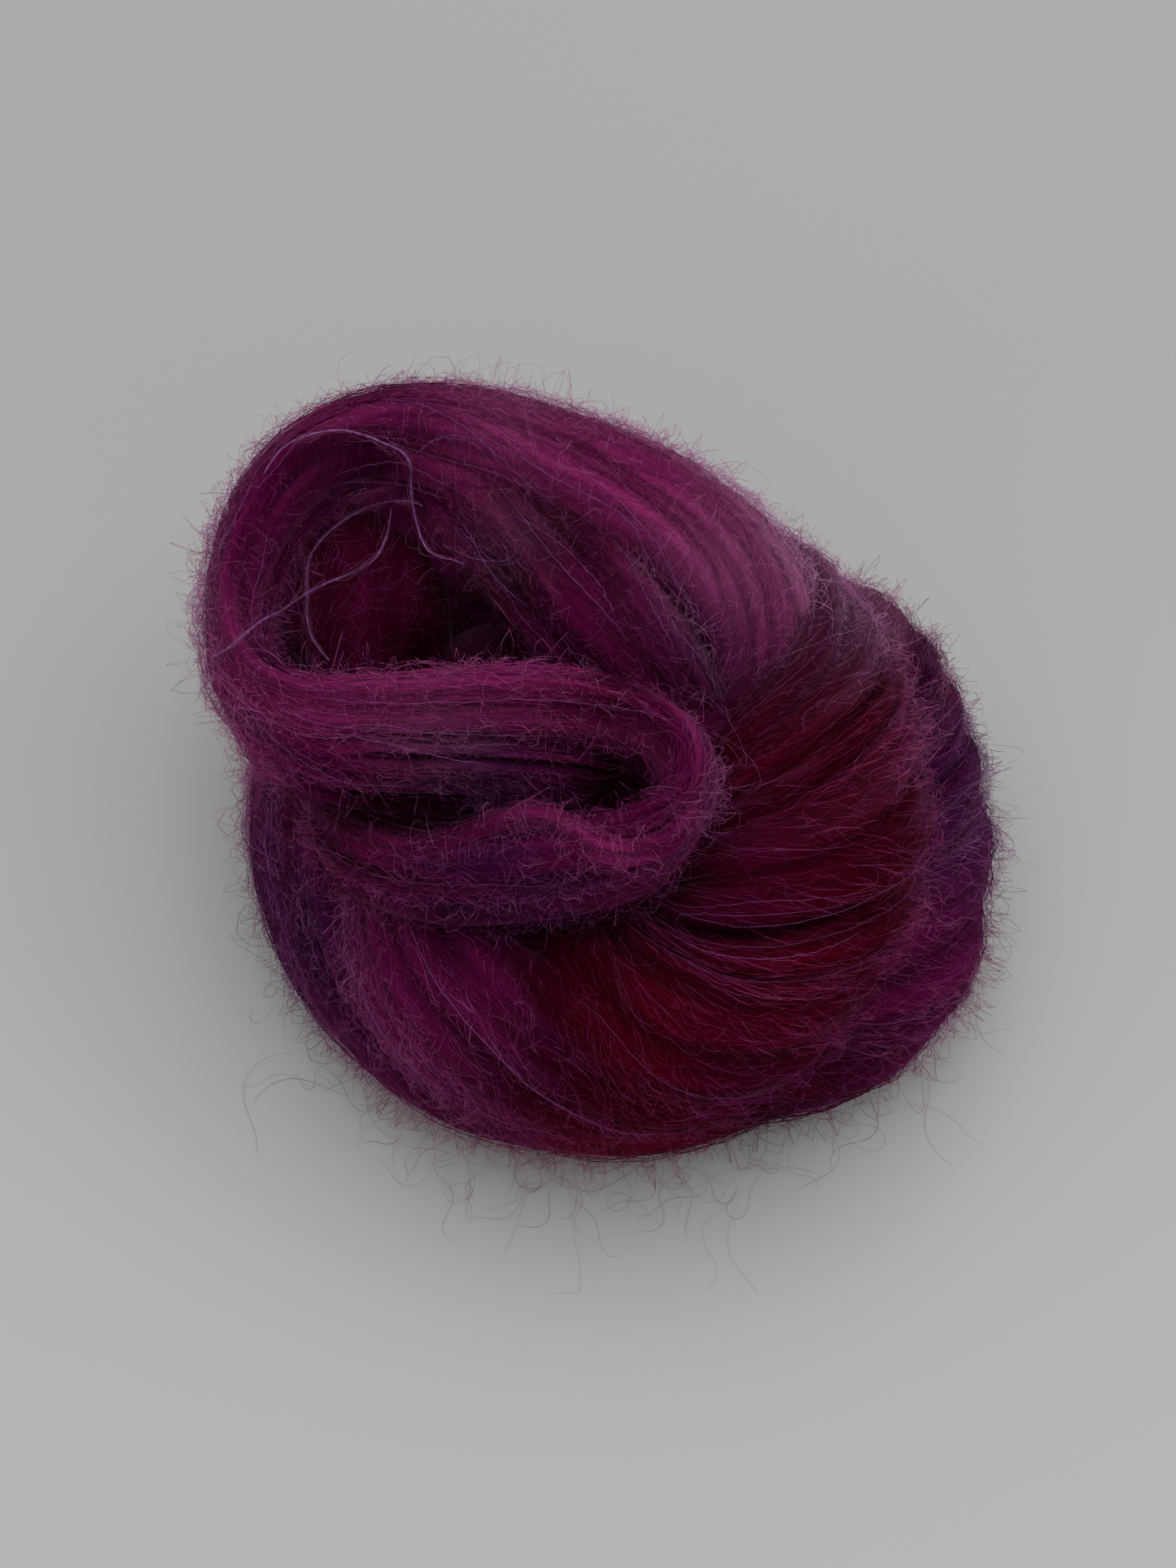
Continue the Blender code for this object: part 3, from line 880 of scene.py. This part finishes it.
def silkThread(bundle, rng, s0, turn0, say):
    # A silk thread, brighter and smoother than the mohair, with small kinks
    n = len(s0)
    t = np.linspace(-0.5, 0.5, say["points"])[None]
    s = s0 + t * between(say["length"], rng.random((n, 1))) / bundle["length"]
    swing = say["sway"] * np.sin(2 * math.pi * (t * 1.1 + rng.random((n, 1))))
    swing = swing + say["kink"] * np.sin(2 * math.pi * (t * 9 + rng.random((n, 1))))
    turn = turn0 + swing / bundle["radius"]
    lift = say["lift"] + say["wave"] * np.sin(2 * math.pi * (t * 3 + rng.random((n, 1))))
    lift = lift - say["endsDip"] * (np.abs(t) * 2) ** 8
    points, _, dye = onBundle(bundle, s, turn, lift - slitDepth(bundle, s, turn))
    return points, mixed(dye, dyes["silk"], 0.25 + 0.45 * rng.random((n, 1)))


settle("silk_threads", fibres("silk_threads", silkSay, silkThread, looseCore), silkMaterial)


def makeSilkLines(say):
    # The chosen threads and loops, with small kinks and a painted, uneven sheen along them
    rng = np.random.default_rng(say["seed"])
    paths = []
    for name, knots in silkLines:
        places = smoothRows([(s, turn, 0, 0, 0) for s, turn in knots], say["points"])
        off = say["off"] - say["endsDip"] * np.linspace(-1, 1, say["points"]) ** 10
        paths.append(onBundle(bundles[name], places[:, 0], places[:, 1], off)[0])
    for knots in silkLoops:
        paths.append(smoothRows(knots, say["points"]) - middle)
    paths = np.array(paths)
    paths[:, 1:-1] += say["kink"] * rng.normal(size=paths[:, 1:-1].shape)
    thick = between(say["radius"], rng.random((len(paths), 1)))
    radii = thick * taper(say["points"], 1.0, say["blunt"])[None]
    # painted sheen: brightness that changes along each thread
    colours = np.array(dyes["silk"]) * (0.30 + 0.60 * rng.random((*paths.shape[:2], 1)))
    return spindles("silk_lines", paths, radii, colours)


settle("silk_lines", makeSilkLines(lineSay), silkMaterial)
report("silk threads")

napSay = {
    "seeds": (41, 42), "perArea": 0.80, "most": 7900, "points": 5, "length": (1.6, 6.5),
    "radius": (0.020, 0.036), "blunt": 0.45, "messy": 0.7, "messyCore": 0.9, "tidyAim": 0.4,
    "bend": 2.4, "tilt": 0.30, "stand": 1.3, "arch": 0.25, "shade": (0.9, 1.6),
}


def napFibre(bundle, rng, s0, turn0, say):
    # A short fibre in a soft bend, lying on the surface or standing a little off it
    n = len(s0)
    t = np.linspace(-0.5, 0.5, say["points"])[None]
    long = between(say["length"], rng.random((n, 1)) ** 1.5)
    messy = rng.random((n, 1)) < (say["messyCore"] if bundle["core"] else say["messy"])
    aim = rng.normal(size=(n, 1)) * np.where(messy, 1.0, say["tidyAim"])
    aim = aim + rng.normal(size=(n, 1)) * t * say["bend"]
    s = s0 + long * t * np.cos(aim) / bundle["length"]
    turn = turn0 + long * t * np.sin(aim) / bundle["radius"]
    tilt = rng.normal(size=(n, 1)) * say["tilt"] * t * long * (rng.random((n, 1)) < 0.5)
    stand = say["stand"] * rng.random((n, 1)) ** 2 + say["arch"] * np.cos(math.pi * t)
    lift = np.maximum(stand + tilt, 0.0) - pile - 0.6 * slitDepth(bundle, s, turn)
    deeper = rimDepth(bundle, s, turn)
    lift = lift - np.where(deeper > 0, deeper * rng.random((n, 1)), deeper)
    points, _, _ = onBundle(bundle, s, turn, lift)
    # painted glow: a fibre is paler the further it stands off the surface
    colour = colourAt(bundle, s, turn, points, 0.05 + 0.3 * np.clip((lift + pile) / 1.5, 0, 1))
    return points, colour * between(say["shade"], rng.random((n, 1, 1)))


for number, seed in enumerate(napSay["seeds"], start=1):
    piece = f"mohair_nap_{number}"
    settle(piece, fibres(piece, {**napSay, "seed": seed}, napFibre), fuzzMaterial)
report("mohair nap")

outstanding = {
    "drift": 0.9, "curl": 0.12, "forward": 0.75,  # how a fibre turns, curls and goes on
    "nearTable": 16, "nearGain": 3.2,  # below this height in mm fibres stand out further
    "least": 0.3, "looping": 0.55,  # least reach in mm, and the share that loops back
    "shade": (0.8, 1.2),
}
haloSay = {
    **outstanding, "seeds": (51, 52), "perArea": 1.35, "most": 10900, "points": 5,
    "length": (1.5, 6.0), "radius": (0.021, 0.037), "blunt": 0.35, "stand": 0.85,
    "highest": 4.6, "onTop": 0.36,
}
curlSay = {
    **outstanding, "seed": 53, "perArea": 0.12, "most": 1300, "points": 12, "length": (5.0, 16.0),
    "radius": (0.016, 0.026), "blunt": 0.4, "stand": 1.4, "highest": 6.0, "onTop": 0.6,
}


def haloFibre(bundle, rng, s0, turn0, say):
    # A curly fibre that stands out from the surface, free at one end or looping back
    n = len(s0)
    t = np.linspace(0, 1, say["points"])[None]
    long = between(say["length"], rng.random((n, 1)) ** 1.8)
    aim = rng.random((n, 1)) * 2 * math.pi + rng.normal(size=(n, 1)) * say["drift"] * t
    curls = 0.2 + 0.08 * (say["points"] - 2) * rng.random((n, 1))
    start = rng.random((n, 1)) * 2 * math.pi
    curl = long * say["curl"] * (0.4 + rng.random((n, 1)))
    winding = 2 * math.pi * curls * t + start
    ahead = long * say["forward"] * t + curl * (np.sin(winding) - np.sin(start))
    aside = curl * (np.cos(winding) - np.cos(start))
    s = s0 + (ahead * np.cos(aim) - aside * np.sin(aim)) / bundle["length"]
    turn = turn0 + (ahead * np.sin(aim) + aside * np.cos(aim)) / bundle["radius"]
    height = onBundle(bundle, s0, turn0, np.zeros_like(s0))[0][..., 2]
    low = np.clip(1 - height / say["nearTable"], 0, 1)
    stand = rng.exponential(say["stand"] * (1 + say["nearGain"] * low))
    reach = np.clip(say["least"] + stand, 0, say["highest"])
    back = np.sin(math.pi * t) ** 0.8
    free = t**0.8 + 0.2 * np.sin(winding) * t
    lift = reach * np.where(rng.random((n, 1)) < say["looping"], back, free)
    root = (pile + rimDepth(bundle, s, turn)) * (1 - t)
    points, _, _ = onBundle(bundle, s, turn, np.maximum(lift, 0) - root)
    # painted glow: a fibre is paler the further it stands off the surface
    colour = colourAt(bundle, s, turn, points, 0.10 + 0.90 * np.clip(lift / 1.4, 0, 1))
    return points, colour * between(say["shade"], rng.random((n, 1, 1)))


for number, seed in enumerate(haloSay["seeds"], start=1):
    piece = f"mohair_halo_{number}"
    settle(piece, fibres(piece, {**haloSay, "seed": seed}, haloFibre), fuzzMaterial)
settle("mohair_curls", fibres("mohair_curls", curlSay, haloFibre), fuzzMaterial)
report("mohair halo")

wispSay = {
    "seed": 61, "count": 90, "points": 16, "length": (6.0, 24.0), "radius": (0.014, 0.024),
    "spread": 0.8,  # how far round the near side they lie, in radians
    "rim": (46, 41.5), "room": (60, 55.5),  # half sizes in mm of where they start and stop
}


def makeWisps(say):
    # Fibres that have slipped down and lie curled on the table round the near side
    rng = np.random.default_rng(say["seed"])
    n = say["count"]
    t = np.linspace(0, 1, say["points"])[None]
    bearing = math.radians(-90) + rng.normal(size=(n, 1)) * say["spread"]
    edge = np.stack([say["rim"][0] * np.cos(bearing), say["rim"][1] * np.sin(bearing)], axis=-1)
    long = between(say["length"], rng.random((n, 1)) ** 1.5)
    heading = bearing + rng.normal(size=(n, 1)) * 0.9 + rng.normal(size=(n, 1)) * 2.6 * t
    waves = t * (0.5 + rng.random((n, 1))) + rng.random((n, 1))
    heading = heading + 0.9 * np.sin(2 * math.pi * waves)
    steps = np.stack([np.cos(heading), np.sin(heading)], axis=-1)
    steps = steps * (long / say["points"])[..., None]
    flat = edge + np.cumsum(steps, axis=1) * 0.9
    height = 0.08 + 2.2 * rng.random((n, 1)) * (1 - t) ** 2
    paths = np.concatenate([flat, height[..., None]], axis=-1)
    for axis, room in enumerate(say["room"]):
        paths[..., axis] = np.clip(paths[..., axis], -room, room)
    radii = between(say["radius"], rng.random((n, 1))) * taper(say["points"], 1.0, 0.4)[None]
    tint = np.array(dyes["magenta"]) ** paleness
    colours = tint * (0.3 + 0.3 * rng.random((n, 1, 1))) * np.ones_like(paths)
    return spindles("floor_wisps", paths, radii, colours)


settle("floor_wisps", makeWisps(wispSay), fuzzMaterial)
report("floor wisps")


# Loose yarn ends over the eye of the loop, in metres

looseEnds = {
    "yarn_end_left": {
        "length": 0.0431,
        "route": [
            (-0.0453, 0.0007, 0.0537), (-0.0432, 0.0008, 0.0555), (-0.0414, 0.0018, 0.0566),
            (-0.0398, 0.0043, 0.0556), (-0.0385, 0.0097, 0.0497), (-0.0362, 0.0161, 0.0442),
            (-0.0340, 0.0187, 0.0426), (-0.0316, 0.0205, 0.0418), (-0.0290, 0.0222, 0.0420),
            (-0.0276, 0.0249, 0.0424), (-0.0271, 0.0276, 0.0428), (-0.0269, 0.0294, 0.0436),
        ],
    },
    "yarn_end_middle": {
        "length": 0.0366,
        "route": [
            (-0.0337, 0.0091, 0.0400), (-0.0349, 0.0114, 0.0384), (-0.0362, 0.0137, 0.0378),
            (-0.0370, 0.0164, 0.0375), (-0.0371, 0.0185, 0.0388), (-0.0371, 0.0205, 0.0402),
            (-0.0368, 0.0232, 0.0412), (-0.0356, 0.0250, 0.0420), (-0.0335, 0.0273, 0.0424),
            (-0.0309, 0.0292, 0.0426), (-0.0279, 0.0290, 0.0446), (-0.0258, 0.0279, 0.0464),
            (-0.0239, 0.0272, 0.0472), (-0.0226, 0.0255, 0.0486),
        ],
    },
    "yarn_end_right": {
        "length": 0.0388,
        "route": [
            (-0.0408, 0.0240, 0.0566), (-0.0388, 0.0273, 0.0572), (-0.0362, 0.0291, 0.0574),
            (-0.0324, 0.0302, 0.0572), (-0.0295, 0.0302, 0.0564), (-0.0267, 0.0294, 0.0556),
            (-0.0247, 0.0287, 0.0548), (-0.0239, 0.0277, 0.0534), (-0.0240, 0.0270, 0.0510),
            (-0.0238, 0.0252, 0.0489), (-0.0232, 0.0233, 0.0468), (-0.0222, 0.0212, 0.0460),
            (-0.0206, 0.0197, 0.0464), (-0.0190, 0.0186, 0.0474), (-0.0174, 0.0172, 0.0484),
        ],
    },
}
endYarn = {
    "seed": 77, "diameter": 0.0005, "points": 61,
    "ply": 0.08, "plyRadius": 0.085, "plySides": 6, "turns": 0.45,  # turns in each mm
    "mauve": 0.15,  # share of mauve in the silk's dye
    "hairs": 90, "hairPoints": 7, "hairRadius": 0.025, "hairOut": 0.6,
}


def makeLooseEnd(name, facts, say, rng):
    # Two silk plies round each other, with short mohair fibres caught between them
    line = smoothRows(np.array(facts["route"]) / mm, say["points"])
    along = np.gradient(line, axis=0)
    along /= np.linalg.norm(along, axis=1)[:, None]
    across = np.cross(along, (0.31, 0.52, 0.79))
    across /= np.linalg.norm(across, axis=1)[:, None]
    beside = np.cross(along, across)
    angle = 2 * math.pi * say["turns"] * np.linspace(0, facts["length"] / mm, say["points"])
    plies = []
    for half in (0, math.pi):
        offset = np.cos(angle + half)[:, None] * across + np.sin(angle + half)[:, None] * beside
        plies.append(line + offset * say["ply"])
    radii = np.broadcast_to(taper(say["points"], say["plyRadius"], 0.08)[None], (2, say["points"]))
    tint = mixed(np.array(dyes["silk"]), dyes["mauve"], say["mauve"])
    shade = tint * (0.45 + 0.75 * rng.random((2, say["points"], 1)))
    plyMesh = spindles(name + "_plies", np.array(plies), radii, shade, say["plySides"])
    hairs, last = say["hairs"], say["hairPoints"] - 1
    steps = np.arange(last + 1)
    start = rng.integers(1, say["points"] - last - 2, hairs)
    bow = 0.2 + 1.1 * rng.random((hairs, 1, 1)) ** 2
    bow = np.sin(math.pi * steps / last)[None, :, None] * bow
    paths = line[start[:, None] + steps] + rng.normal(size=(hairs, 1, 3)) * bow * say["hairOut"]
    thin = np.broadcast_to(taper(last + 1, say["hairRadius"])[None], paths.shape[:2])
    colour = np.broadcast_to(np.array(dyes["mauve"]) * 0.8, paths.shape)
    hairMesh = spindles(name + "_hairs", paths, thin, colour)
    bm = bmesh.new()
    for part in (plyMesh, hairMesh):
        bm.from_mesh(part)
        bpy.data.meshes.remove(part)
    mesh = bpy.data.meshes.new(name + "_yarn")
    bm.to_mesh(mesh)
    bm.free()
    mesh.shade_smooth()
    return mesh, line * mm


endRng = np.random.default_rng(endYarn["seed"])
for name, facts in looseEnds.items():
    mesh, line = makeLooseEnd(name, facts, endYarn, endRng)
    piece = bpy.data.objects.new(name + "_yarn", mesh)
    mesh.materials.append(silkMaterial)
    bpy.context.scene.collection.objects.link(piece)
    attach(piece, "root")
    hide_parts(name)
report("loose yarn ends")

# Pale floor, soft light from above and a little behind

studio = {
    "floor": ((0.670, 0.680, 0.655), (0.555, 0.560, 0.552)),  # near and far side of the card; painted light: the card is lighter on its near side than on its far side
    "floorFade": (-0.11, 0.10),
    "floorBlend": "SMOOTHSTEP",
    "floorReach": 1.5,
    "floorRoughness": 0.8,
    "world": (0.98, 1.0, 1.0),
    "worldStrength": 0.40,
    "lightPlace": (0.10, 0.10, 0.85),
    "lightAim": (0, 0, 0.03),
    "lightSize": 1.1,
    "lightPower": 3.7,
}


def makeStudio(say):
    bm = bmesh.new()
    bmesh.ops.create_grid(bm, x_segments=2, y_segments=2, size=say["floorReach"])
    mesh = bpy.data.meshes.new("floor")
    bm.to_mesh(mesh)
    bm.free()
    floor = bpy.data.objects.new("floor", mesh)
    bpy.context.scene.collection.objects.link(floor)
    material, tree, shader = nodesOf("floor_card")
    place = node(tree, "ShaderNodeTexCoord")
    parts = node(tree, "ShaderNodeSeparateXYZ")
    blend = node(tree, "ShaderNodeMix", data_type="RGBA")
    blend.inputs["A"].default_value = (*say["floor"][0], 1)
    blend.inputs["B"].default_value = (*say["floor"][1], 1)
    tree.links.new(place.outputs["Object"], parts.inputs[0])
    depth, settings = parts.outputs["Y"], {"interpolation_type": say["floorBlend"]}
    fade = mapRange(tree, depth, say["floorFade"], (0, 1), **settings)
    tree.links.new(fade, blend.inputs["Factor"])
    tree.links.new(blend.outputs["Result"], shader.inputs["Base Color"])
    shader.inputs["Roughness"].default_value = say["floorRoughness"]
    mesh.materials.append(material)
    world = bpy.data.worlds.new("studio")
    world.use_nodes = True
    sky = world.node_tree.nodes["Background"]
    sky.inputs["Color"].default_value = (*say["world"], 1)
    sky.inputs["Strength"].default_value = say["worldStrength"]
    bpy.context.scene.world = world
    light = bpy.data.lights.new("overhead", "AREA")
    light.energy = say["lightPower"]
    light.size = say["lightSize"]
    lamp = bpy.data.objects.new("overhead", light)
    lamp.location = say["lightPlace"]
    ahead = Vector(say["lightAim"]) - lamp.location
    lamp.rotation_euler = ahead.to_track_quat("-Z", "Y").to_euler()
    bpy.context.scene.collection.objects.link(lamp)


makeStudio(studio)
bpy.context.scene.view_settings.view_transform = "Standard"
report("studio")
